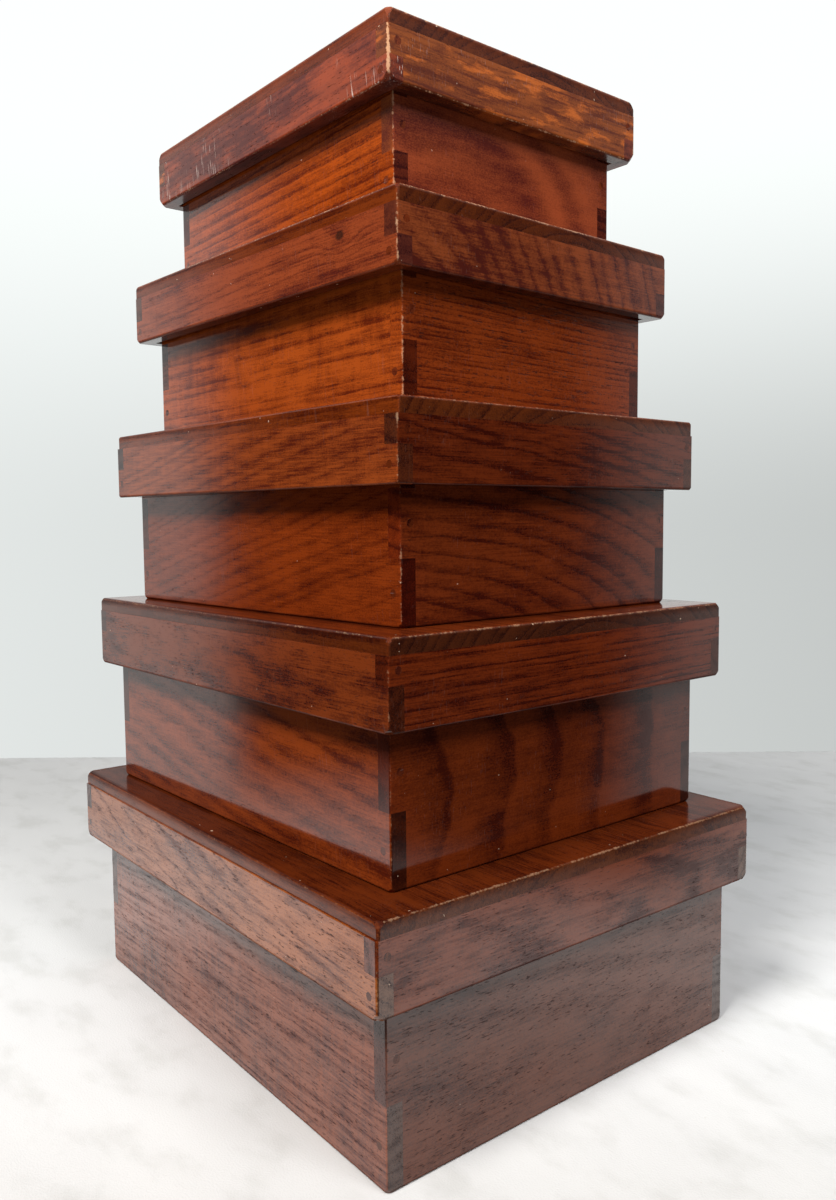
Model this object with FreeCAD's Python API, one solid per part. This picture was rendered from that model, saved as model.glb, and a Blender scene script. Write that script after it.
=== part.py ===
import FreeCAD, Part
import math
import os

# Five lidded hardwood boxes, graduated in size and standing one on another.
#
# Frame: millimetres, +Z up, origin on the surface that the bottom box stands on, under the
# middle of the largest lid, which is the middle of the whole stack's outline.
# X runs along the long side of the boxes, Y along the short side; the front is at -Y.
# Tier 1 is the largest box with its lid, at the bottom; tier 5 is the smallest, at the top.
#
# Each box is four walls joined at the corners with three square fingers, pegged through
# each finger, and a floor board let into the walls from below. Each lid is a frame of four
# sides joined with two fingers, pegged too, with a top board laid over the whole frame.
# The lid slips down over its box until the top board rests on the rim of the walls.

# ---------------------------------------------------------------- driving dimensions

# One value for each tier, from 1 to 5.

LID_LENGTH = (375.0, 346.0, 319.0, 293.5, 269.0)    # along X
LID_WIDTH = (303.0, 278.5, 252.0, 225.0, 198.5)     # along Y
VISIBLE_WALL = (97.5, 85.0, 74.0, 66.0, 58.0)       # box wall below the lid
LID_HEIGHT = (49.0, 48.0, 44.0, 40.0, 37.0)         # whole lid
LID_FINGER_SPLIT = (0.56, 0.61, 0.57, 0.48, 0.46)   # lower finger's share of the lid frame
TOP_BOARD_SHRINKAGE = (1.0, 0.5, 1.2, 0.4, 0.3)     # top board's set-back, front and back
LID_TOP_EASE = (1.2, 1.8, 1.5, 2.0, 2.5)            # rounding of the top board's upper edge
LID_CORNER_WEAR = (7.0, 6.0, 4.0, 5.5, 8.0)         # a lid's edges are worn away this near a corner
BOX_CORNER_WEAR = (5.0, 5.0, 5.0, 4.5, 4.5)         # the same at the corners of a box

BOARD_THICKNESS = 10.0          # walls and lid sides
TOP_BOARD_THICKNESS = 9.0
FLOOR_THICKNESS = 9.0
FLOOR_REBATE = 4.0              # how far the floor board reaches into each wall
LID_CLEARANCE = 2.0             # air between a lid's sides and the walls inside them

PEG_DIAMETER = 4.4
PEG_TO_CORNER = 6.5             # peg axis to the corner edge it is driven beside
PEG_GRIP = 12.0                 # how far a peg goes into the end of the second board

BOX_CORNER_EASE = 1.2           # rounding of the upright corner edges of a box
BOX_FOOT_EASE = 1.5             # rounding of the edge that a box stands on
BOX_RIM_EASE = 0.8              # rounding of the wall's outer top edge, under the lid
LID_CORNER_EASE = 1.5           # rounding of the upright corner edges of a lid
LID_RIM_EASE = 1.3              # rounding of a lid's lower edge

# How each box was set down: shift along X, shift along Y, turn in degrees.
STACKED = ((1.2, 0.9, 0.0), (-2.0, 0.1, 1.4), (-2.6, 1.8, 2.5), (0.3, -0.3, 2.4), (-2.8, -0.7, 0.9))

# How far each lid sits off the centre of its box, within its clearance: along X, along Y.
LID_PLAY = ((-1.2, -0.9), (1.0, 1.1), (1.5, -0.8), (0.6, -1.5), (-0.5, 0.1))

# ---------------------------------------------------------------- worked-out dimensions

TIERS = range(1, len(STACKED) + 1)
LID_OVERHANG = BOARD_THICKNESS + LID_CLEARANCE
BOX_FINGERS = 3
UP = FreeCAD.Vector(0, 0, 1)


def box_length(tier):
    return LID_LENGTH[tier - 1] - 2 * LID_OVERHANG


def box_width(tier):
    return LID_WIDTH[tier - 1] - 2 * LID_OVERHANG


def wall_height(tier):
    """From the underside of the box to its rim, which carries the lid's top board."""
    return VISIBLE_WALL[tier - 1] + LID_HEIGHT[tier - 1] - TOP_BOARD_THICKNESS


def tier_height(tier):
    return VISIBLE_WALL[tier - 1] + LID_HEIGHT[tier - 1]


def tier_base(tier):
    """Height of the underside of a tier above the floor."""
    return sum(tier_height(lower) for lower in range(1, tier))


# ---------------------------------------------------------------- shapes shared by the parts


def block(x, y, z):
    """A rectangular block between three (low, high) pairs."""
    size = (x[1] - x[0], y[1] - y[0], z[1] - z[0])
    return Part.makeBox(*size, FreeCAD.Vector(x[0], y[0], z[0]))


def rounded_outline(across, up, low_radius, high_radius, point):
    """A closed rectangular wire with round corners: one radius below and one above.

    across and up are (low, high) pairs, and point(a, u) places a corner in space.
    """
    (left, right), (bottom, top) = across, up
    corners = (
        (left, bottom, 1, 1, low_radius),
        (right, bottom, -1, 1, low_radius),
        (right, top, -1, -1, high_radius),
        (left, top, 1, -1, high_radius),
    )
    diagonal = 1 - math.sqrt(0.5)
    arcs = []
    for index, (a, u, toward_a, toward_u, radius) in enumerate(corners):
        beside = point(a + toward_a * radius, u)
        above = point(a, u + toward_u * radius)
        middle = point(a + toward_a * radius * diagonal, u + toward_u * radius * diagonal)
        start, end = (above, beside) if index % 2 == 0 else (beside, above)
        arcs.append((start, middle, end))
    edges = []
    for this, following in zip(arcs, arcs[1:] + arcs[:1]):
        edges.append(Part.Arc(*this).toShape())
        edges.append(Part.LineSegment(this[2], following[0]).toShape())
    return Part.Wire(edges)


def worn_tips(length, width, z, wear):
    """The wood that handling has rubbed from the eight corners of a block.

    At each corner it is what lies outside a ball that meets the three edges at the
    distance wear from the sharp corner.
    """
    depth = 1.2 * wear
    ball_radius = math.sqrt((depth - wear) ** 2 + 2 * depth**2)
    tips = []
    for toward_x in (-1, 1):
        for toward_y in (-1, 1):
            for height, toward_z in ((z[0], -1), (z[1], 1)):
                toward = FreeCAD.Vector(toward_x, toward_y, toward_z)
                corner = FreeCAD.Vector(toward_x * length / 2, toward_y * width / 2, height)
                outer, inner = corner + toward, corner - toward * 1.1 * wear
                tip = block(*(sorted(pair) for pair in zip(outer, inner)))
                tips.append(tip.cut(Part.makeSphere(ball_radius, corner - toward * depth)))
    return tips


def eased_block(length, width, z, corner_radius, foot_radius, top_radius, wear):
    """A block centred on the Z axis with its upright, lower and upper edges rounded.

    It is what three rounded prisms, one along each axis, have in common, so the rounded
    edges meet in mitres, as edges planed one after another do. Then its corners are worn.
    """
    x = (-length / 2, length / 2)
    y = (-width / 2, width / 2)
    across_x = rounded_outline(x, z, foot_radius, top_radius, lambda a, u: FreeCAD.Vector(a, y[0], u))
    across_y = rounded_outline(y, z, foot_radius, top_radius, lambda a, u: FreeCAD.Vector(x[0], a, u))
    plan = rounded_outline(x, y, corner_radius, corner_radius, lambda a, u: FreeCAD.Vector(a, u, z[0]))
    along_y = Part.Face(across_x).extrude(FreeCAD.Vector(0, width, 0))
    along_x = Part.Face(across_y).extrude(FreeCAD.Vector(length, 0, 0))
    along_z = Part.Face(plan).extrude(UP * (z[1] - z[0]))
    return along_y.common(along_x).common(along_z).cut(worn_tips(length, width, z, wear))


def corner_blocks(length, width, z):
    """The four square posts of wood where two boards cross, between two heights."""
    posts = []
    for side_x in (-1, 1):
        for side_y in (-1, 1):
            x = sorted((side_x * length / 2, side_x * (length / 2 - BOARD_THICKNESS)))
            y = sorted((side_y * width / 2, side_y * (width / 2 - BOARD_THICKNESS)))
            posts.append(block(x, y, z))
    return posts


def frame_boards(length, width, z, end_fingers, form):
    """The four boards of a box or a lid frame, cut from its rounded outer form.

    end_fingers are the (low, high) heights at which the end boards, left and right, run
    through to the corners; at every other height the front and back boards do.
    """
    x_in = length / 2 - BOARD_THICKNESS
    y_in = width / 2 - BOARD_THICKNESS
    posts = [post for heights in end_fingers for post in corner_blocks(length, width, heights)]
    whole_x = (-length / 2, length / 2)
    plain = {
        "front": block(whole_x, (-width / 2, -y_in), z).cut(posts),
        "back": block(whole_x, (y_in, width / 2), z).cut(posts),
        "left": block((-length / 2, -x_in), (-y_in, y_in), z),
        "right": block((x_in, length / 2), (-y_in, y_in), z),
    }
    plain["left"] = plain["left"].fuse([post for post in posts if post.CenterOfMass.x < 0])
    plain["right"] = plain["right"].fuse([post for post in posts if post.CenterOfMass.x > 0])
    return {side: board.removeSplitter().common(form) for side, board in plain.items()}


def corner_pegs(length, width, heights_through_front, heights_through_ends):
    """Round pegs beside the corners, flush with the faces that they are driven through."""
    peg_length = BOARD_THICKNESS + PEG_GRIP
    radius = PEG_DIAMETER / 2
    pegs = []
    for side_x in (-1, 1):
        for side_y in (-1, 1):
            for z in heights_through_front:
                start = FreeCAD.Vector(side_x * (length / 2 - PEG_TO_CORNER), side_y * width / 2, z)
                pegs.append(Part.makeCylinder(radius, peg_length, start, FreeCAD.Vector(0, -side_y, 0)))
            for z in heights_through_ends:
                start = FreeCAD.Vector(side_x * length / 2, side_y * (width / 2 - PEG_TO_CORNER), z)
                pegs.append(Part.makeCylinder(radius, peg_length, start, FreeCAD.Vector(-side_x, 0, 0)))
    return pegs


# ---------------------------------------------------------------- one box


def box_parts(tier):
    """Walls, floor board and pegs of one box, with its underside at Z = 0."""
    length = box_length(tier)
    width = box_width(tier)
    height = wall_height(tier)
    eases = (BOX_CORNER_EASE, BOX_FOOT_EASE, BOX_RIM_EASE)
    form = eased_block(length, width, (0, height), *eases, BOX_CORNER_WEAR[tier - 1])
    finger = height / BOX_FINGERS
    walls = frame_boards(length, width, (0, height), [(finger, 2 * finger)], form)

    floor_x = length / 2 - BOARD_THICKNESS + FLOOR_REBATE
    floor_y = width / 2 - BOARD_THICKNESS + FLOOR_REBATE
    floor_board = block((-floor_x, floor_x), (-floor_y, floor_y), (0, FLOOR_THICKNESS))

    middles = [finger * (index + 0.5) for index in range(BOX_FINGERS)]
    pegs = corner_pegs(length, width, [middles[0], middles[2]], [middles[1]])

    parts = {side + "_wall": wall.cut([floor_board] + pegs) for side, wall in walls.items()}
    parts["floor_board"] = floor_board
    parts["pegs"] = Part.makeCompound(pegs)
    return parts


# ---------------------------------------------------------------- one lid


def lid_parts(tier):
    """Sides, top board and pegs of one lid, with the underside of its box at Z = 0."""
    length = LID_LENGTH[tier - 1]
    width = LID_WIDTH[tier - 1]
    low = VISIBLE_WALL[tier - 1]
    seat = wall_height(tier)
    top = tier_height(tier)
    eases = (LID_CORNER_EASE, LID_RIM_EASE, LID_TOP_EASE[tier - 1])
    wear = LID_CORNER_WEAR[tier - 1]

    form = eased_block(length, width, (low, top), *eases, wear)
    split = low + LID_FINGER_SPLIT[tier - 1] * (seat - low)
    sides = frame_boards(length, width, (low, seat), [(split, seat)], form)
    pegs = corner_pegs(length, width, [(low + split) / 2], [(split + seat) / 2])

    board_width = width - 2 * TOP_BOARD_SHRINKAGE[tier - 1]
    board_form = eased_block(length, board_width, (low, top), *eases, wear)
    reach = (-length, length)

    parts = {side + "_side": board.cut(pegs) for side, board in sides.items()}
    parts["top_board"] = board_form.common(block(reach, reach, (seat, top)))
    parts["pegs"] = Part.makeCompound(pegs)

    off_x, off_y = LID_PLAY[tier - 1]
    off_centre = FreeCAD.Placement(FreeCAD.Vector(off_x, off_y, 0), FreeCAD.Rotation())
    return {name: shape.transformed(off_centre.toMatrix()) for name, shape in parts.items()}


# ---------------------------------------------------------------- the stack


def stand(shape, tier):
    """Set a part of a tier down where that tier stands in the stack."""
    shift_x, shift_y, turn = STACKED[tier - 1]
    place = FreeCAD.Vector(shift_x, shift_y, tier_base(tier))
    return shape.transformed(FreeCAD.Placement(place, FreeCAD.Rotation(UP, turn)).toMatrix())


def export(name, shape):
    volume = sum(solid.Volume for solid in shape.Solids)
    print(f"{name:22s} {len(shape.Solids):3d} solids  {volume / 1000:8.1f} cm3  valid {shape.isValid()}")
    shape.exportStep(f"parts/{name}.step")


os.makedirs("parts", exist_ok=True)
for tier in TIERS:
    for name, shape in box_parts(tier).items():
        export(f"box_{tier}_{name}", stand(shape, tier))
    for name, shape in lid_parts(tier).items():
        export(f"lid_{tier}_{name}", stand(shape, tier))
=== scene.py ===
import math

import bpy
from mathutils import Matrix, Vector


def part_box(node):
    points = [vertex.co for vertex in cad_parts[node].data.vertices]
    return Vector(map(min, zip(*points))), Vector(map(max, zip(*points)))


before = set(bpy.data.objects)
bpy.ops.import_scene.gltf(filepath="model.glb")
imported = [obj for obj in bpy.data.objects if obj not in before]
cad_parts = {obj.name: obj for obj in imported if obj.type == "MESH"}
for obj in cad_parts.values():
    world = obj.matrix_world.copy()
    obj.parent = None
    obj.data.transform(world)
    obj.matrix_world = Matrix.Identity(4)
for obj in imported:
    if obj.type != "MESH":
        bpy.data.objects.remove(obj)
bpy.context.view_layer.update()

# ---------------------------------------------------------------- walls of the boxes
# Each box is four boards of a ring-porous hardwood, 10 mm thick, brushed with a red-brown
# lacquer. Three square fingers lock every corner: the front and back walls run through at
# the bottom and the top, the end walls in the middle, so that their end grain shows there.

TURN = {1: 0.0, 2: 1.4, 3: 2.5, 4: 2.4, 5: 0.9}     # how far each tier is turned, degrees
MILLIMETRE = 0.001


class Recipe:
    """A shader written down step by step. Each step adds a node and gives back its output."""

    def __init__(self, tree):
        self.tree = tree

    def node(self, kind, inputs=None, **settings):
        """Any node. Its inputs are outputs of other steps, numbers, or red, green and blue."""
        made = self.tree.nodes.new("ShaderNode" + kind)
        for setting, value in settings.items():
            setattr(made, setting, value)
        for name, value in (inputs or {}).items():
            socket = made.inputs[name]
            if isinstance(value, bpy.types.NodeSocket):
                self.tree.links.new(value, socket)
            elif socket.type == "RGBA":
                socket.default_value = (*value, 1.0)
            else:
                socket.default_value = value
        return made

    def math(self, operation, *values, clamp=False):
        inputs = dict(enumerate(values))
        return self.node("Math", inputs, operation=operation, use_clamp=clamp).outputs[0]

    def times(self, first, second, clamp=False):
        return self.math("MULTIPLY", first, second, clamp=clamp)

    def times_plus(self, value, factor, added):
        """The value times the factor, and then the added number."""
        return self.math("MULTIPLY_ADD", value, factor, added)

    def plus(self, first, second, clamp=False):
        return self.math("ADD", first, second, clamp=clamp)

    def minus(self, first, second, clamp=False):
        return self.math("SUBTRACT", first, second, clamp=clamp)

    def larger(self, first, second):
        return self.math("MAXIMUM", first, second)

    def smaller(self, first, second):
        return self.math("MINIMUM", first, second)

    def size_of(self, value):
        """A number without its sign."""
        return self.math("ABSOLUTE", value)

    def vector(self, operation, *values):
        made = self.node("VectorMath", dict(enumerate(values)), operation=operation)
        return made.outputs["Value" if operation in ("DOT_PRODUCT", "LENGTH") else "Vector"]

    def part(self, value, axis):
        """The part of a vector along one axis: 0, 1 or 2."""
        return self.node("SeparateXYZ", {0: value}).outputs[axis]

    def noise(self, place, size, detail=2.0):
        """Soft random patches of a given size along, through and across, about 0 to 1."""
        stretched = self.vector("DIVIDE", place, size)
        inputs = {"Vector": stretched, "Scale": 1.0, "Detail": detail, "Roughness": 0.55}
        return self.node("TexNoise", inputs).outputs["Fac"]

    def swing(self, value, reach):
        """A value of 0 to 1 turned into one of -reach to +reach."""
        return self.times(self.times_plus(value, 2.0, -1.0), reach)

    def soft_step(self, value, start, end):
        """0 before start and 1 after end, with a smooth turn between them."""
        inputs = {"Value": value, "From Min": start, "From Max": end}
        return self.node("MapRange", inputs, interpolation_type="SMOOTHSTEP").outputs[0]

    def soft_fall(self, value, start, end):
        """1 before start and 0 after end."""
        return self.minus(1.0, self.soft_step(value, start, end))

    def mix(self, share, first, second, blend="MIX"):
        """A colour part of the way from the first to the second."""
        inputs = {0: share, 6: first, 7: second}
        made = self.node("Mix", inputs, data_type="RGBA", blend_type=blend)
        return made.outputs[2]

    def between(self, share, first, second):
        """A number part of the way from the first to the second."""
        return self.node("Mix", {0: share, 2: first, 3: second}).outputs[0]

    def curve(self, value, stops):
        """A smooth curve through (value, height) points."""
        made = self.node("ValToRGB", {"Fac": value})
        made.color_ramp.interpolation = "EASE"
        points = made.color_ramp.elements
        while len(points) < len(stops):
            points.new(0.5)
        for point, (position, height) in zip(points, stops):
            point.position = position
            point.color = (height, height, height, 1.0)
        return made.outputs["Color"]

    def end_in(self, shader, inputs, output="OutputMaterial"):
        """The last step: a shader that is led to the output."""
        made = self.node(shader, inputs)
        self.node(output, {"Surface": made.outputs[0]})


def blank(owner):
    """An empty recipe for a new material, or for the world."""
    owner.use_nodes = True
    owner.node_tree.nodes.clear()
    return Recipe(owner.node_tree)


def growth_rings(r, given, cut, strewn):
    """How dark the wood of each ring is, the tone of the whole ring, and how far a knot is.

    A ring is a distance from a wandering heart, counted in ring widths. Rings flow round a
    knot as water flows round a stone.
    """
    wide_wander = r.swing(r.noise(strewn, (210.0, 55.0, 55.0)), given["Wander"])
    close_wander = r.swing(r.noise(strewn, (42.0, 15.0, 15.0)), given["Wander"])
    ragged = r.swing(r.noise(strewn, (14.0, 3.0, 3.0)), 0.7)
    along = r.part(cut, 0)
    everywhere_along = r.node("CombineXYZ", {0: along, 1: along, 2: along}).outputs[0]
    heart = r.vector("ADD", given["Heart"], r.vector("MULTIPLY", given["Lean"], everywhere_along))
    away = r.vector("SUBTRACT", cut, heart)
    through, across = r.part(away, 1), r.part(away, 2)
    square = r.plus(r.times(through, through), r.times(across, across))
    radius = r.plus(r.math("SQRT", square), wide_wander)
    radius = r.times_plus(close_wander, 0.25, radius)
    radius = r.plus(radius, ragged)

    knot_size = given["Knot_Size"]
    off_knot = r.vector("MULTIPLY", r.vector("SUBTRACT", cut, given["Knot"]), (0.7, 1.0, 1.0))
    off_knot = r.math("DIVIDE", r.vector("LENGTH", off_knot), r.larger(knot_size, 0.001))
    swell = r.math("EXPONENT", r.times(r.times(off_knot, off_knot), -0.10))
    radius = r.plus(radius, r.times(swell, r.times(knot_size, 3.5)))

    count = r.math("DIVIDE", radius, given["Ring"])
    uneven = {"W": r.times(count, 0.45), "Scale": 1.0}
    uneven = r.node("TexNoise", uneven, noise_dimensions="1D").outputs["Fac"]
    count = r.times_plus(uneven, 1.6, count)
    number = {"W": r.math("FLOOR", count)}
    ring_tone = r.node("TexWhiteNoise", number, noise_dimensions="1D").outputs[0]
    early_and_late = ((0.0, 0.80), (0.06, 1.0), (0.26, 0.52), (0.56, 0.15), (0.90, 0.0),
                      (1.0, 0.80))
    fine_line = r.curve(r.math("FRACT", count), early_and_late)
    broad_band = r.times_plus(r.math("COSINE", r.times(count, 2 * math.pi)), 0.5, 0.5)
    early = r.between(given["Broad"], fine_line, broad_band)
    broken = r.soft_step(r.noise(strewn, (60.0, 12.0, 12.0)), 0.22, 0.60)
    early = r.times(early, r.times_plus(broken, 0.65, 0.35))
    return early, ring_tone, off_knot


def open_pores(r, given, strewn, early):
    """Short dark dashes along the grain, crowded where each ring begins."""
    vessel = r.noise(strewn, (4.5, 0.7, 0.7), 1.0)
    crowded = r.times_plus(early, -0.07, 0.700)
    crowded = r.times_plus(given["Pores"], -0.030, crowded)
    pore = r.soft_step(vessel, crowded, r.plus(crowded, 0.06))
    return r.times(pore, r.plus(given["Pores"], 0.2), clamp=True)


def depth_of_stain(r, given, strewn, early, ring_tone):
    """How dark the wood is, 0 to 1, with the fibres, blotches and patches that it is made of."""
    share = r.times(early, given["Contrast"])
    tone = r.times(r.swing(ring_tone, 0.16), r.soft_fall(given["Broad"], 0.0, 1.0))
    share = r.times_plus(tone, given["Contrast"], share)
    long_fibres = r.swing(r.noise(strewn, (34.0, 0.6, 0.6)), 0.55)
    short_fibres = r.swing(r.noise(strewn, (15.0, 1.3, 1.3), 3.0), 0.48)
    fibres = r.plus(long_fibres, short_fibres)
    share = r.times_plus(fibres, given["Fibres"], share)
    flecks = r.swing(r.noise(strewn, (1.3, 0.8, 0.8), 1.0), 0.55)
    share = r.plus(share, flecks)
    ripple = r.swing(r.noise(strewn, (4.5, 30.0, 22.0), 1.0), 1.0)
    share = r.plus(share, r.times(ripple, given["Ripple"]))
    blotch = r.swing(r.noise(strewn, (20.0, 6.0, 6.0), 2.0), 0.55)
    share = r.times_plus(blotch, given["Mottle"], share)
    patch = r.noise(strewn, (75.0, 38.0, 38.0), 3.0)
    share = r.plus(share, r.times(r.swing(patch, 1.0), given["Mottle"]))
    return r.plus(share, 0.22, clamp=True), fibres, blotch, patch


def from_the_arrises(r, given, place):
    """Distances in millimetres to the nearest outer arris, to the foot and to the top."""
    at, half = r.vector("ABSOLUTE", place), given["Half_Size"]
    height = r.part(place, 2)
    from_end = r.minus(r.part(half, 0), r.part(at, 0))
    from_front = r.minus(r.part(half, 1), r.part(at, 1))
    inside = r.smaller(from_end, from_front)
    upright = r.larger(from_end, from_front)
    foot = r.larger(inside, height)
    top = r.larger(inside, r.minus(given["High"], height))
    foot_sheltered, top_exposed = 0.9, -0.5
    level = r.smaller(r.plus(foot, foot_sheltered), r.plus(top, top_exposed))
    return r.smaller(upright, level), foot, top


def hardwood():
    """The lacquered hardwood that every board is cut from, as one node group.

    The growth rings are cylinders about the heart of the tree, so one recipe gives straight
    lines, arched figure and end grain, according to where a board lies from the heart.
    """
    tree = bpy.data.node_groups.new("lacquered hardwood", "ShaderNodeTree")
    sockets = {
        "NodeSocketVector": ("Place", "Cut", "Grain", "Half_Size", "Heart", "Lean", "Knot",
                             "Seed"),
        "NodeSocketFloat": ("High", "Ring", "Wander", "Contrast", "Broad", "Fibres", "Pores",
                            "Ripple", "Mottle", "Knot_Size", "Flaked", "Worn", "Chipped",
                            "Scratched", "Dull", "Gloss", "Open"),
        "NodeSocketColor": ("Pale", "Dark", "Edge", "End"),
    }
    for kind, names in sockets.items():
        for name in names:
            tree.interface.new_socket(name, in_out="INPUT", socket_type=kind)
    tree.interface.new_socket("Colour", in_out="OUTPUT", socket_type="NodeSocketColor")
    for name in ("Roughness", "Coat", "Height"):
        tree.interface.new_socket(name, in_out="OUTPUT", socket_type="NodeSocketFloat")
    r = Recipe(tree)
    given = tree.nodes.new("NodeGroupInput").outputs
    cut = given["Cut"]
    strewn = r.vector("ADD", cut, given["Seed"])

    early, ring_tone, off_knot = growth_rings(r, given, cut, strewn)
    pore = open_pores(r, given, strewn, early)
    share, fibres, blotch, patch = depth_of_stain(r, given, strewn, early, ring_tone)
    dark_pore, dark_knot = (0.020, 0.006, 0.004), (0.030, 0.009, 0.005)
    colour = r.mix(share, given["Pale"], given["Dark"])
    colour = r.mix(r.times(pore, 0.7), colour, dark_pore)
    in_knot = r.soft_fall(off_knot, 0.55, 1.0)
    colour = r.mix(r.times(in_knot, 0.85), colour, dark_knot)

    # End grain takes the stain otherwise than the face, and each board in its own way.
    grey = (0.045, 0.020, 0.015)
    facing = r.node("TexCoord").outputs["Normal"]
    end_grain = r.size_of(r.vector("DOT_PRODUCT", facing, given["Grain"]))
    end_grain = r.soft_step(end_grain, 0.55, 0.9)
    soaked = r.mix(1.0, colour, given["End"], "MULTIPLY")
    soaked = r.mix(0.05, soaked, grey)
    colour = r.mix(end_grain, colour, soaked)

    # The edges of a top board are stained with the sides, lighter or darker than its face. Where
    # a top board's face is darkened with painted shade, this keeps its edges at the tone of the
    # sides.
    standing = r.soft_fall(r.size_of(r.part(facing, 2)), 0.4, 0.8)
    colour = r.mix(standing, colour, given["Edge"], "MULTIPLY")

    # Flakes: the top coat has darkened, and where it came off the paler wood shows.
    place = given["Place"]
    spotted = r.vector("ADD", place, given["Seed"])
    darkened = (0.060, 0.013, 0.007)
    flake = r.soft_step(r.noise(spotted, (26.0, 26.0, 7.5), 5.0), 0.50, 0.60)
    flake = r.times(flake, given["Flaked"], clamp=True)
    colour = r.mix(r.times(given["Flaked"], 0.55, clamp=True), colour, darkened)
    flake = r.times(flake, r.times_plus(share, -0.9, 1.0))
    colour = r.mix(flake, colour, r.vector("MULTIPLY", given["Pale"], (1.25, 1.2, 1.1)))

    # Handling: near the outer arrises the lacquer wears through, and small chips come off.
    arris, foot, top = from_the_arrises(r, given, place)
    rub = r.noise(spotted, (9.0, 9.0, 9.0), 3.0)
    nick = r.noise(spotted, (1.6, 1.6, 1.6))
    reach = r.times_plus(given["Worn"], 0.9, r.times_plus(rub, 2.6, -1.4))
    reach = r.times_plus(nick, 2.9, r.plus(reach, -1.2))
    worn = r.soft_step(r.minus(reach, arris), 0.0, 0.9)
    worn = r.times(worn, given["Worn"], clamp=True)
    bare_wood, chipped_wood = (0.56, 0.36, 0.22), (0.62, 0.45, 0.33)
    rubbed_pale = r.mix(0.60, given["Pale"], bare_wood)
    colour = r.mix(worn, colour, rubbed_pale)
    chance = r.times_plus(r.soft_fall(arris, 3.0, 14.0), -0.030, 0.81)
    chip = r.noise(spotted, (3.2, 3.2, 3.2), 1.0)
    chip = r.times(r.soft_step(chip, chance, r.plus(chance, 0.02)), given["Chipped"])
    colour = r.mix(chip, colour, chipped_wood)

    # Scratches: fine pale lines across the grain, in a few places only.
    leaning = r.node("CombineXYZ", {0: r.part(place, 2)}).outputs[0]
    crossing = r.vector("ADD", spotted, r.vector("MULTIPLY", leaning, (0.14, 0.14, 0.14)))
    scratch = r.soft_step(r.noise(crossing, (0.7, 0.7, 17.0), 1.0), 0.64, 0.72)
    few_places = r.soft_step(r.noise(spotted, (34.0, 34.0, 30.0)), 0.47, 0.60)
    scratch = r.times(r.times(scratch, few_places), given["Scratched"])
    dusty = (0.46, 0.36, 0.32)
    colour = r.mix(scratch, colour, dusty)

    rough = r.times_plus(patch, 0.12, given["Dull"])
    rough = r.times_plus(end_grain, 0.12, rough)
    rough = r.times_plus(worn, 0.15, rough)

    # The lacquer is thin where it was rubbed, along the top and the foot, and over open grain.
    polish = r.between(r.times(standing, 0.6), given["Gloss"], 1.0)
    bare = r.times(r.larger(worn, chip), 0.8)
    coat = r.times(r.minus(1.0, bare, clamp=True), polish)
    coat = r.times(coat, r.times_plus(r.soft_fall(top, 1.0, 6.0), -0.6, 1.0))
    coat = r.times(coat, r.times_plus(r.soft_fall(foot, 1.0, 2.0), -0.75, 1.0))
    coat = r.times(coat, r.times_plus(pore, -0.6, 1.0))
    open_grain = r.times_plus(early, 0.5, r.plus(fibres, blotch))
    coat = r.times(coat, r.minus(1.0, r.times(open_grain, given["Open"])), clamp=True)

    # Relief, in fifths of a millimetre: sunk pores and worn places, and a faint unevenness.
    relief = r.times(pore, -0.10)
    relief = r.times_plus(early, -0.06, relief)
    relief = r.times_plus(worn, -0.3, relief)
    relief = r.times_plus(chip, -0.6, relief)
    relief = r.times_plus(patch, 0.8, relief)

    result = tree.nodes.new("NodeGroupOutput").inputs
    made = {"Colour": colour, "Roughness": rough, "Coat": coat, "Height": relief}
    for name, value in made.items():
        tree.links.new(value, result[name])
    return tree


HARDWOOD = hardwood()


def outline(kind, tier, boards):
    """Foot centre of a box or a lid in the stack, half its length and width, and its height."""
    corners = [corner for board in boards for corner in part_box(f"{kind}_{tier}_{board}")]
    low = Vector([min(corner[axis] for corner in corners) for axis in range(3)])
    high = Vector([max(corner[axis] for corner in corners) for axis in range(3)])
    turn = math.radians(TURN[tier])
    wide, deep = high.x - low.x, high.y - low.y
    length = (wide * math.cos(turn) - deep * math.sin(turn)) / math.cos(2 * turn)
    width = (deep * math.cos(turn) - wide * math.sin(turn)) / math.cos(2 * turn)
    centre = Vector(((low.x + high.x) / 2, (low.y + high.y) / 2, low.z))
    return centre, (length / 2, width / 2), high.z - low.z


GRAIN = {       # which way round a board lies: along, through and across, as axes of its tier
    "long": (0, 1, 2),
    "end": (1, 0, 2),
    "flat": (0, 2, 1),
}


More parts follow.
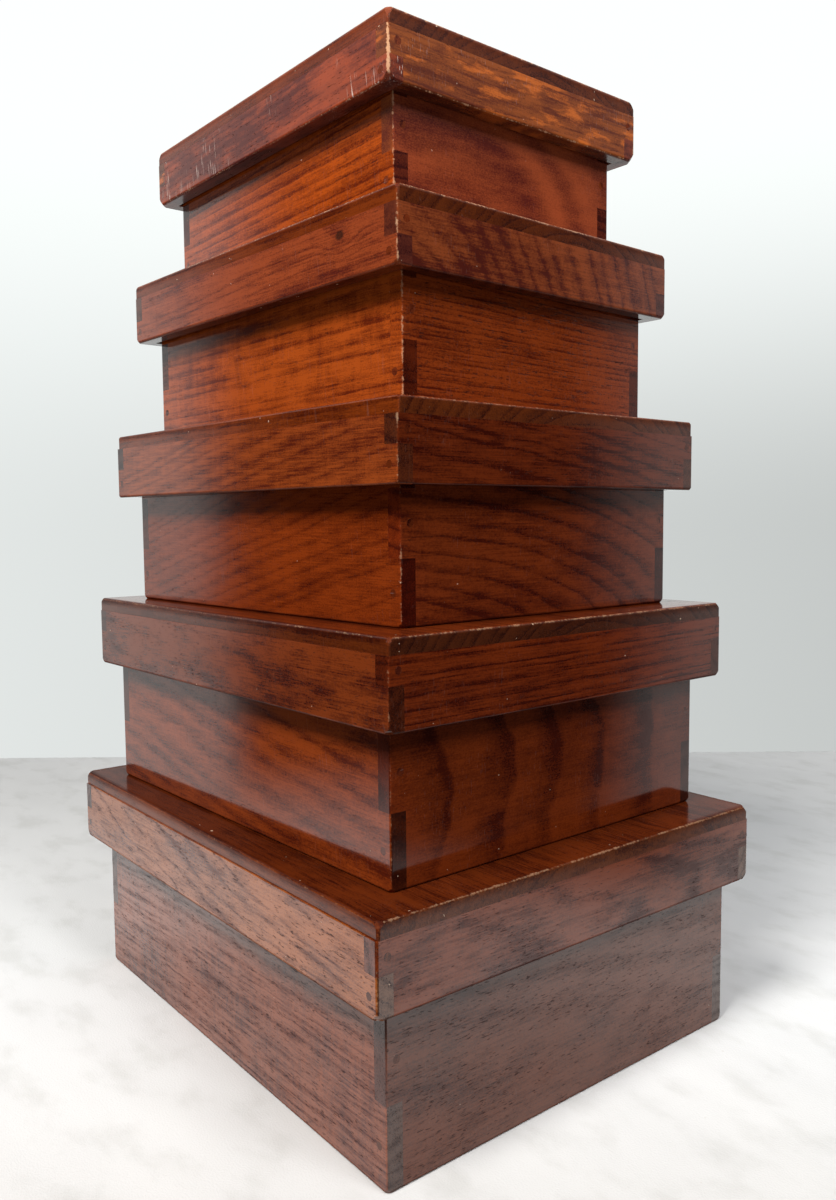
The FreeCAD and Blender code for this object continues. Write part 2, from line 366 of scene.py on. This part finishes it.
def board_material(name, tier, where, way, look):
    """The hardwood for one board, laid in its own place and direction.

    where is the outline of its box or lid, way a word of GRAIN, and look comes from wood().
    """
    look = dict(look)
    haze = look.pop("Haze")
    shine = look.pop("Shine")
    centre, half, tall = where
    material = bpy.data.materials.new(name)
    r = blank(material)
    turn = math.radians(TURN[tier])
    to_tier = {
        "Vector": r.node("TexCoord").outputs["Object"],
        "Location": centre,
        "Rotation": (0.0, 0.0, turn),
        "Scale": (MILLIMETRE,) * 3,
    }
    place = r.node("Mapping", to_tier, vector_type="TEXTURE").outputs[0]
    axes = {i: r.part(place, axis) for i, axis in enumerate(GRAIN[way])}
    cut = r.node("CombineXYZ", axes).outputs[0]
    along = (math.cos(turn), math.sin(turn), 0.0)
    across = (-math.sin(turn), math.cos(turn), 0.0)
    inputs = {
        "Place": place,
        "Cut": cut,
        "Grain": across if way == "end" else along,
        "Half_Size": (half[0] / MILLIMETRE, half[1] / MILLIMETRE, 0.0),
        "High": tall / MILLIMETRE,
    }
    made = r.node("Group", {**inputs, **look}, node_tree=HARDWOOD).outputs
    relief = {"Height": made["Height"], "Strength": 0.5, "Distance": 0.2 * MILLIMETRE}
    bump = r.node("Bump", relief).outputs[0]
    r.end_in("BsdfPrincipled", {
        "Base Color": made["Colour"],
        "Roughness": made["Roughness"],
        "Normal": bump,
        "Specular IOR Level": 0.0,
        "Coat Weight": made["Coat"],
        "Coat Roughness": haze,
        "Coat IOR": shine,
        "Coat Normal": bump,
    })
    return material


def joint_line(name, chipped, chips):
    """What fills the fine groove round every board: old wax and dirt, chipped pale in places."""
    material = bpy.data.materials.new(name)
    r = blank(material)
    place = r.vector("DIVIDE", r.node("TexCoord").outputs["Object"], (MILLIMETRE,) * 3)
    bare = r.soft_step(r.noise(place, (9.0, 9.0, 9.0), 3.0), chips, chips + 0.10)
    dirt = (0.020, 0.008, 0.006)
    colour = r.mix(bare, dirt, chipped)
    rough = r.times_plus(r.noise(place, (2.0, 2.0, 2.0)), 0.4, 0.35)
    surface = {"Base Color": colour, "Roughness": rough, "Specular IOR Level": 0.1}
    r.end_in("BsdfPrincipled", surface)
    return material


JOINT_LINE = joint_line("joint_line", (0.26, 0.10, 0.04), 0.58)
GROOVE = 0.15 * MILLIMETRE      # how much each arris is broken: joints show as fine lines


def finish_board(node, material, groove=GROOVE, filling=JOINT_LINE):
    """Gives a board its wood, breaks its arrises and keeps its flat faces flat to the light."""
    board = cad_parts[node]
    board.data.materials.clear()
    board.data.materials.append(material)
    board.data.materials.append(filling)
    weld = board.modifiers.new("one_skin", "WELD")
    weld.merge_threshold = 0.002 * MILLIMETRE
    arris = board.modifiers.new("broken_arris", "BEVEL")
    arris.width = groove
    arris.segments = 1
    arris.limit_method = "ANGLE"
    arris.angle_limit = math.radians(50)
    arris.material = 1              # the filling
    even = board.modifiers.new("even_shading", "WEIGHTED_NORMAL")
    even.weight = 100
    even.keep_sharp = True


def wood(stain_and_shade, heart, lean, ring, wander, seed, **changes):
    """How one board was cut and stained.

    first argument: the colour of the board, fit board by board to how bright it looks where it
    stands, so it is partly the colour the board is stained and partly painted light and shade.
    heart: how far the heart of the tree lies behind the face and above the foot, mm.
    lean: how far it drifts both ways for each millimetre along the board.
    ring, wander: how wide the rings are and how far they stray, mm. A ring below nought
    turns the dark side of every ring the other way. seed: which length of the tree it is.
    """
    red, green, blue = stain_and_shade
    look = {
        "Pale": (red * 1.42, green * 1.5, blue * 1.3),
        "Dark": (red * 0.42, green * 0.32, blue * 0.6),
        "Edge": (1.0, 1.0, 1.0),    # the edges of a flat board, as a share of its face
        "End": (0.57, 0.66, 1.0),   # the end grain, as a share of the face
        "Heart": (0.0, *heart),
        "Lean": (0.0, *lean),
        "Ring": ring,
        "Wander": wander,
        "Seed": (seed * 370.0, seed * 210.0, seed * 130.0),
        "Contrast": 0.6,            # between the early and the late wood of a ring
        "Broad": 0.0,               # 0 for fine dark lines, 1 for broad soft bands
        "Fibres": 1.0,
        "Pores": 0.5,
        "Ripple": 0.12,             # light and dark across the grain
        "Mottle": 0.65,             # blotches, and patches where the lacquer lies thicker
        "Knot": (0.0, 0.0, 0.0),
        "Knot_Size": 0.0,
        "Flaked": 0.0,              # how much of the top coat has come off
        "Worn": 0.7,                # how far the arrises are rubbed
        "Chipped": 0.6,
        "Scratched": 0.04,
        "Dull": 0.22,               # roughness of the wood under the lacquer
        "Gloss": 1.0,               # how much lacquer lies on it
        "Open": 0.12,               # how far the open grain breaks the lacquer up
        "Haze": 0.09,               # roughness of the lacquer
        "Shine": 1.5,               # refractive index of the lacquer
    }
    look.update(changes)
    return look


def face_four_ways(kind, tier, boards, looks, names):
    """Lays the looks of one front and one right board on all four sides of a box or a lid."""
    where = outline(kind, tier, boards)
    for side in ("front", "back", "left", "right"):
        way = "long" if side in ("front", "back") else "end"
        seen = "front" if way == "long" else "right"
        sign = -1 if side in ("front", "left") else 1
        face = where[1][1 if way == "long" else 0] / MILLIMETRE
        look = dict(looks[tier, seen])
        _, deep, high = look["Heart"]
        look["Heart"] = (0.0, sign * (face - deep), high)
        look["Lean"] = (0.0, -sign * look["Lean"][1], look["Lean"][2])
        look["Knot"] = (look["Knot"][0], sign * face, look["Knot"][2])
        if side != seen:            # the same kind of board from elsewhere in the tree
            look["Seed"] = (5000.0, 3000.0, 2000.0 * tier)
            look["Knot_Size"] = 0.0
        if side == "left":          # of which only the fingers show, beside the front
            look["End"] = (0.52, 0.60, 0.80)
        node = f"{kind}_{tier}_{side}_{names}"
        finish_board(node, board_material(node, tier, where, way, look))


# Each stain below was fit wall by wall to how bright that wall looks in the stack, so besides the
# board's own tone it carries painted light and shade: the right walls are stained darker for the
# shade on that side, and the back and left walls take the stains of the front and right walls.
WALLS = {
    (1, "front"): wood(
        (0.196, 0.0403, 0.0106), (15, -160), (0.0, 0.04), 6.5, 6.5, 1.0,
        Contrast=0.36, Broad=0.6, Fibres=1.2, Pores=1.3, Ripple=0.4, Mottle=0.9, Dull=0.38,
        Haze=0.20, Open=0.55, Shine=1.7, Worn=0.15, End=(0.27, 0.38, 0.60)),
    (1, "right"): wood(
        (0.0974, 0.0185, 0.00378), (60, 20), (0.10, -0.05), 13.0, 7.0, 2.0,
        Contrast=0.28, Broad=0.8, Pores=1.1, Dull=0.38, Haze=0.20, Open=0.35, Shine=1.6,
        Worn=0.15, End=(0.74, 0.66, 0.90)),
    (2, "front"): wood(
        (0.166, 0.0273, 0.0051), (40, 200), (0.10, -0.20), 15.0, 8.0, 3.0,
        Contrast=0.55, Broad=0.9, Pores=0.4, Worn=0.3, End=(0.20, 0.19, 0.30)),
    (2, "right"): wood(
        (0.101, 0.0150, 0.0031), (215, 45), (1.0, 0.0), -44.0, 16.0, 4.0,
        Contrast=0.85, Broad=0.15, Fibres=0.6, Pores=0.3, Worn=0.3, End=(0.70, 0.60, 0.70)),
    (3, "front"): wood(
        (0.147, 0.0216, 0.0034), (20, -150), (0.0, 0.26), 8.0, 4.0, 5.0,
        Contrast=0.42, Broad=0.4, Worn=0.4, End=(0.24, 0.13, 0.25)),
    (3, "right"): wood(
        (0.101, 0.0154, 0.00378), (55, -30), (0.35, 0.0), 9.0, 6.0, 6.0,
        Contrast=0.75, Broad=0.35, Pores=0.5, Mottle=0.8, Worn=0.4, End=(1.24, 1.00, 0.70)),
    (4, "front"): wood(
        (0.226, 0.0385, 0.00595), (15, -130), (0.0, 0.02), 8.5, 3.5, 7.0,
        Contrast=0.62, Broad=0.3, Ripple=0.30, Mottle=0.95, Worn=0.55, End=(0.23, 0.17, 0.30)),
    (4, "right"): wood(
        (0.141, 0.0218, 0.00441), (10, -120), (0.0, -0.03), 3.6, 1.5, 8.0,
        Pores=1.2, Worn=0.55, End=(1.55, 1.60, 1.00)),
    (5, "front"): wood(
        (0.231, 0.0369, 0.00405), (15, -140), (0.0, 0.03), 6.5, 1.5, 9.0,
        Contrast=0.75, Haze=0.11, End=(0.29, 0.27, 1.10)),
    (5, "right"): wood(
        (0.185, 0.0338, 0.0121), (40, -15), (0.8, 0.0), 30.0, 8.0, 10.0,
        Contrast=0.6, Broad=1.0, Fibres=0.4, Pores=0.3, Haze=0.16, End=(1.10, 1.35, 1.00)),
}
BOX_BOARDS = ("front_wall", "back_wall", "left_wall", "right_wall")
for tier in TURN:
    face_four_ways("box", tier, BOX_BOARDS, WALLS, "wall")

# ---------------------------------------------------------------- floor boards of the boxes
# One flat board closes each box from below, 9 mm thick and glued into a rebate of the four
# walls. Inside and underneath it is stained once and never polished, so it stays dull.

for tier in TURN:
    where = outline("box", tier, BOX_BOARDS)
    look = wood((0.150, 0.030, 0.006), (0, 0), (0.03, 0.02), 7.0, 4.0, 20.0 + tier, Worn=0.3,
                Dull=0.5, Gloss=0.5, Haze=0.3)
    look["Heart"] = (0.0, -60.0, 0.0)
    node = f"box_{tier}_floor_board"
    finish_board(node, board_material(node, tier, where, "flat", look))

# ---------------------------------------------------------------- sides of the lids
# Four strips of the same wood, 10 mm thick, with two fingers at every corner: the end sides
# run through above, the front and back below. They are handled the most, and show it.

# As with the walls, each stain was fit side by side to how bright that side looks in the stack,
# so it carries painted light and shade as well as the wood's own tone; most right sides are
# stained darker for the shade on that side.
SIDES = {
    (1, "front"): wood(
        (0.246, 0.0609, 0.0102), (75, 62), (-0.10, 0.0), 6.0, 9.0, 11.0,
        Contrast=0.60, Broad=0.45, Pores=1.3, Mottle=0.9, Dull=0.36, Haze=0.18, Open=0.5,
        Shine=1.7, Worn=0.5, End=(0.33, 0.40, 0.60)),
    (1, "right"): wood(
        (0.112, 0.0183, 0.00302), (60, 10), (0.10, -0.05), 7.5, 9.0, 12.0,
        Contrast=0.7, Broad=0.7, Pores=1.1, Dull=0.36, Haze=0.18, Open=0.5, Shine=1.6,
        Mottle=1.2, Worn=0.4, End=(0.98, 0.95, 1.00)),
    (2, "front"): wood(
        (0.118, 0.0202, 0.00442), (40, -20), (0.10, -0.05), 12.0, 9.0, 13.0,
        Contrast=0.45, Broad=0.9, Fibres=1.4, Pores=1.0, Mottle=1.5, Haze=0.13, Worn=0.45,
        End=(0.33, 0.31, 0.40)),
    (2, "right"): wood(
        (0.0874, 0.0123, 0.0028), (10, -180), (0.0, 0.02), 5.5, 3.5, 14.0,
        Contrast=0.8, Broad=0.2, Fibres=1.4, Worn=0.45, End=(0.64, 0.58, 0.60)),
    (3, "front"): wood(
        (0.167, 0.0306, 0.00673), (15, -210), (0.0, 0.20), 8.5, 4.0, 15.0,
        Contrast=0.5, Broad=0.6, Fibres=1.4, Ripple=0.2, Worn=0.6, End=(0.29, 0.31, 0.50)),
    (3, "right"): wood(
        (0.0715, 0.0106, 0.0028), (40, -80), (0.1, -0.12), 8.0, 5.0, 16.0,
        Contrast=0.75, Broad=0.5, Fibres=1.4, Pores=0.5, Mottle=0.8, Worn=0.6,
        End=(0.73, 1.05, 1.50)),
    (4, "front"): wood(
        (0.163, 0.0295, 0.00978), (20, -220), (0.0, 0.05), 8.0, 4.0, 17.0,
        Contrast=0.5, Broad=0.3, Haze=0.14, Worn=0.75, End=(0.33, 0.35, 0.70),
        Knot=(99.0, 0.0, 23.7), Knot_Size=3.2),
    (4, "right"): wood(
        (0.122, 0.025, 0.00855), (120, -60), (1.1, -0.3), 15.0, 8.0, 18.0,
        Contrast=0.6, Broad=0.5, Ripple=0.2, Mottle=1.1, Haze=0.13, Worn=0.75,
        End=(0.54, 0.52, 0.80)),
    (5, "front"): wood(
        (0.170, 0.0275, 0.01), (15, -200), (0.0, 0.02), 5.0, 5.0, 19.0,
        Contrast=0.5, Broad=0.4, Pores=0.8, Mottle=1.6, Flaked=0.35, Worn=1.4, Scratched=1.2,
        Dull=0.38, Haze=0.30, End=(0.75, 0.75, 0.85)),
    (5, "right"): wood(
        (0.225, 0.052, 0.0103), (15, -200), (0.0, 0.02), 6.0, 9.0, 20.0,
        Contrast=0.7, Broad=0.5, Pores=0.8, Mottle=1.4, Flaked=0.9, Worn=1.4, Scratched=0.15,
        Dull=0.3, Haze=0.26, End=(0.75, 0.75, 0.85)),
}
LID_BOARDS = ("front_side", "back_side", "left_side", "right_side", "top_board")
for tier in TURN:
    face_four_ways("lid", tier, LID_BOARDS, SIDES, "side")

# ---------------------------------------------------------------- top boards of the lids
# One wide board glued flat on each frame, its grain along the length and its upper arris
# rounded over. Years of boxes set down on it have dulled the polish of the lowest one, and
# the ledge that the board leaves on the front of its frame has worn to bare, pale wood.

# The top boards' stains darken toward the foot of the stack: partly the wood's own tone and
# partly painted shade, darkest on the lowest board, whose face lies in the shade of the box
# standing on it. Its Edge keeps its upright edges at the tone of the sides.
TOPS = {
    1: wood(
        (0.0478, 0.00762, 0.00163), (0, 0), (0.03, 0.02), 9.0, 6.0, 51.0,
        Contrast=0.4, Fibres=1.5, Mottle=1.0, Gloss=0.28, Haze=0.16, Worn=0.35,
        Edge=(2.5, 2.9, 2.3)),
    2: wood(
        (0.0653, 0.0103, 0.00218), (0, 0), (0.03, 0.02), 7.0, 4.0, 52.0,
        Gloss=0.7, Haze=0.12, Worn=0.35, Edge=(1.05, 1.18, 1.2)),
    3: wood(
        (0.0928, 0.0147, 0.00272), (0, 0), (0.03, 0.02), 7.0, 4.0, 53.0,
        Gloss=0.7, Haze=0.12, Worn=0.25, Edge=(1.15, 1.2, 1.0)),
    4: wood(
        (0.0976, 0.0158, 0.00272), (0, 0), (0.03, 0.02), 7.0, 4.0, 54.0,
        Gloss=0.7, Haze=0.14, Worn=0.5),
    5: wood(
        (0.12, 0.0206, 0.00272), (0, 0), (0.03, 0.02), 6.0, 5.0, 55.0,
        Gloss=0.8, Haze=0.26, Worn=0.6, Edge=(0.88, 0.80, 1.0)),
}
GILT_LINE = joint_line("bare_ledge", (0.40, 0.21, 0.06), 0.46)
for tier, look in TOPS.items():
    look["Heart"] = (0.0, -60.0, 20.0)
    node = f"lid_{tier}_top_board"
    where = outline("lid", tier, LID_BOARDS)
    filling = GILT_LINE if tier == 1 else JOINT_LINE
    finish_board(node, board_material(node, tier, where, "flat", look), GROOVE, filling)

# ---------------------------------------------------------------- wooden pegs
# A round peg of the same wood is driven through every finger and cut off flush, so only its
# end grain shows: a small dark disc with a finer, darker ring of glue about it.

PEG_STAIN = {
    1: (0.080, 0.017, 0.005),
    2: (0.066, 0.011, 0.004),
    3: (0.068, 0.011, 0.003),
    4: (0.090, 0.015, 0.005),
    5: (0.098, 0.017, 0.006),
}
for tier in TURN:
    for kind, boards in (("box", BOX_BOARDS), ("lid", LID_BOARDS)):
        look = wood(PEG_STAIN[tier], (0, 0), (0, 0), 5.0, 2.0, 30.0 + tier, Worn=0.2, Gloss=0.8,
                    Grain=(0.0, 0.0, 1.0))
        node = f"{kind}_{tier}_pegs"
        where = outline(kind, tier, boards)
        finish_board(node, board_material(node, tier, where, "long", look), GROOVE / 3)

# ---------------------------------------------------------------- cloth under the stack
# The stack stands on a white cloth drawn smooth over a table. The cloth is a fine plain
# weave with a few faint folds, a little soiled, and it ends where a plain backdrop begins.

AWAY = Vector((-0.7827, 0.6224, 0.0))           # the level direction that the camera looks in
ASIDE = Vector((0.6224, 0.7827, 0.0))


def sheet(name, z=0.0):
    """A level rectangle, 1.9 m by 3.2 m, that lies square to the camera's direction."""
    near, far, reach = -1.2, 0.71, 1.6
    mesh = bpy.data.meshes.new(name)
    corners = [AWAY * far + ASIDE * reach, AWAY * far - ASIDE * reach,
               AWAY * near - ASIDE * reach, AWAY * near + ASIDE * reach]
    mesh.from_pydata([(c.x, c.y, z) for c in corners], [], [(0, 1, 2, 3)])
    made = bpy.data.objects.new(name, mesh)
    bpy.context.scene.collection.objects.link(made)
    return made


floor = sheet("floor")
floor.visible_glossy = False
floor.visible_diffuse = False
cloth = bpy.data.materials.new("pale_cloth")
r = blank(cloth)
place = r.node("TexCoord").outputs["Object"]
fold = r.noise(place, (0.22, 0.10, 0.1), 2.0)
weave = r.noise(place, (0.0012, 0.0012, 0.001), 1.0)
tone = r.mix(fold, (0.60, 0.615, 0.63), (0.655, 0.67, 0.68))
# Painted shade: toward the camera the cloth is painted darker and a little warmer, a warm cast of
# bounced light.
painted_shade_toward_camera = r.soft_fall(r.vector("DOT_PRODUCT", place, tuple(AWAY)), -0.50, 0.05)
tone = r.mix(painted_shade_toward_camera, tone, (0.60, 0.565, 0.535), "MULTIPLY")
soiled = r.soft_step(r.noise(place, (0.05, 0.03, 0.03), 5.0), 0.46, 0.72)
tone = r.mix(soiled, tone, (0.89, 0.89, 0.88), "MULTIPLY")
speck = r.soft_step(r.noise(place, (0.004, 0.004, 0.004), 1.0), 0.80, 0.82)
tone = r.mix(r.times(speck, 0.5), tone, (0.45, 0.42, 0.38))
raised = r.times_plus(weave, 0.03, fold)
bump = r.node("Bump", {"Height": raised, "Strength": 0.35, "Distance": 0.02}).outputs[0]
r.end_in("BsdfPrincipled", {"Base Color": tone, "Roughness": 0.85, "Normal": bump})
floor.data.materials.append(cloth)

# ---------------------------------------------------------------- what the lacquer mirrors
# The lacquer mirrors a bright table top with the dark wedges of the room beside it. This
# sheet lies on the cloth and is seen by mirrored rays only.

shine = sheet("table_in_the_shine", 0.5 * MILLIMETRE)
material = bpy.data.materials.new("table_in_the_shine")
r = blank(material)
place = r.node("TexCoord").outputs["Object"]
toward_us, to_our_right = (0.62451, -0.78101, 0.0), (0.78101, 0.62451, 0.0)
near = r.vector("DOT_PRODUCT", place, toward_us)
aside = r.vector("DOT_PRODUCT", place, to_our_right)
left_end = r.soft_fall(aside, -0.90, -0.45)
left_wedge = r.soft_step(r.times_plus(aside, -0.142, near), 0.08, 0.155)
right_end = r.soft_step(aside, 0.38, 0.60)
right_wedge = r.soft_step(r.times_plus(aside, 0.28, near), 0.035, 0.165)
dark = r.larger(r.times(left_end, left_wedge), r.times(right_end, right_wedge))
dark = r.larger(dark, r.soft_step(near, 0.29, 0.36))
distance = r.vector("LENGTH", place)
bright = r.times_plus(r.soft_step(distance, 0.18, 0.32), 0.50, 0.85)
bright = r.times_plus(r.soft_step(distance, 0.40, 0.70), -0.30, bright)
bright = r.times_plus(r.soft_step(aside, 0.5, 0.9), -0.20, bright)
bright = r.times(bright, r.times_plus(dark, -0.99, 1.0))
r.end_in("Emission", {"Color": (1.0, 0.98, 0.96), "Strength": bright})
shine.data.materials.append(material)
shine.visible_camera = False
shine.visible_diffuse = False
shine.visible_shadow = False

# ---------------------------------------------------------------- room and lamps
# The camera sees a pale backdrop, a little darker to the right and brighter above. Mirrored
# rays see a bright wall behind the stack, with soft upright edges, and a dim ceiling.

world = bpy.data.worlds.new("studio")
bpy.context.scene.world = world
r = blank(world)
toward = r.node("TexCoord").outputs["Generated"]
up = r.part(toward, 2)
sideways = r.vector("DOT_PRODUCT", toward, tuple(ASIDE))
sideways = r.smaller(r.larger(sideways, -0.45), 0.45)
seen = r.times_plus(sideways, -0.26, 0.69)
seen = r.between(r.soft_step(up, -0.02, 0.36), seen, 1.03)
level = r.vector("NORMALIZE", r.vector("MULTIPLY", toward, (1.0, 1.0, 0.0)))
across_left_edge, across_right_edge = (-0.5225, 0.8526, 0.0), (-0.788, 0.6157, 0.0)
past_left = r.vector("DOT_PRODUCT", level, across_left_edge)
past_left = r.times_plus(r.soft_fall(up, -0.20, -0.04), -0.055, past_left)
left_edge = r.times_plus(r.larger(up, 0.0), 0.19, 0.022)
left_edge = r.soft_step(past_left, -0.035, left_edge)
past_right = r.vector("DOT_PRODUCT", level, across_right_edge)
right_edge = r.soft_step(past_right, 0.0, 0.113)
to_the_right = r.soft_step(r.part(level, 0), -0.5, 0.3)
wall = r.times_plus(up, 0.6, 1.02)
wall = r.between(to_the_right, wall, 0.74)
wall = r.times(wall, r.times(left_edge, right_edge))
ceiling = r.times(r.soft_step(up, 0.28, 0.70), 0.9)
mirrored = r.larger(wall, ceiling)
rays = r.node("LightPath").outputs
soft = r.between(r.soft_step(up, -0.10, 0.10), 0.48, 0.13)
strength = r.between(rays["Is Glossy Ray"], soft, mirrored)
strength = r.between(rays["Is Camera Ray"], strength, seen)
r.end_in("Background", {"Color": (0.96, 1.0, 0.985), "Strength": strength}, "OutputWorld")


def softbox(name, spot, aim, size, power, colour=(1.0, 1.0, 1.0)):
    """A square lamp at a spot, turned to an aim. It gives light and isn't itself seen."""
    light = bpy.data.lights.new(name, "AREA")
    light.shape = "RECTANGLE"
    light.size = light.size_y = size
    light.energy = power
    light.color = colour
    made = bpy.data.objects.new(name, light)
    made.location = spot
    made.rotation_euler = (Vector(aim) - Vector(spot)).to_track_quat("-Z", "Y").to_euler()
    bpy.context.scene.collection.objects.link(made)
    made.visible_camera = False
    made.visible_glossy = False


softbox("key", (0.34, -1.02, 1.60), (0, 0, 0.35), 0.5, 43.0, (1.0, 0.96, 0.91))
softbox("overhead", (0.50, -0.15, 1.9), (0, 0, 0.3), 1.1, 8.0)
softbox("side", (1.12, 0.03, 1.38), (0, 0, 0.35), 0.6, 17.0)

# ---------------------------------------------------------------- camera
# A short lens at about the height of the middle box, close to the near corner of the stack.
# It looks a little downward and is held almost level.

camera = bpy.data.cameras.new("camera")
camera.lens = 29.99
camera.sensor_width = 36.0
camera.clip_start = 0.01
viewer = bpy.data.objects.new("camera", camera)
bpy.context.scene.collection.objects.link(viewer)
bpy.context.scene.camera = viewer
CAMERA_SPOT = Vector((0.5575, -0.4188, 0.3363))
HEADING, DIP, TILT = 0.6718, 0.08113, -0.00846      # radians
forward = Vector((-math.cos(HEADING) * math.cos(DIP),
                  math.sin(HEADING) * math.cos(DIP),
                  -math.sin(DIP)))
right = Vector((math.sin(HEADING), math.cos(HEADING), 0.0))
upward = right.cross(forward)
right, upward = (right * math.cos(TILT) + upward * math.sin(TILT),
                 upward * math.cos(TILT) - right * math.sin(TILT))
aimed = Matrix((right, upward, -forward)).transposed().to_4x4()
viewer.matrix_world = Matrix.Translation(CAMERA_SPOT) @ aimed

scene = bpy.context.scene
scene.view_settings.view_transform = "Standard"
scene.view_settings.look = "None"
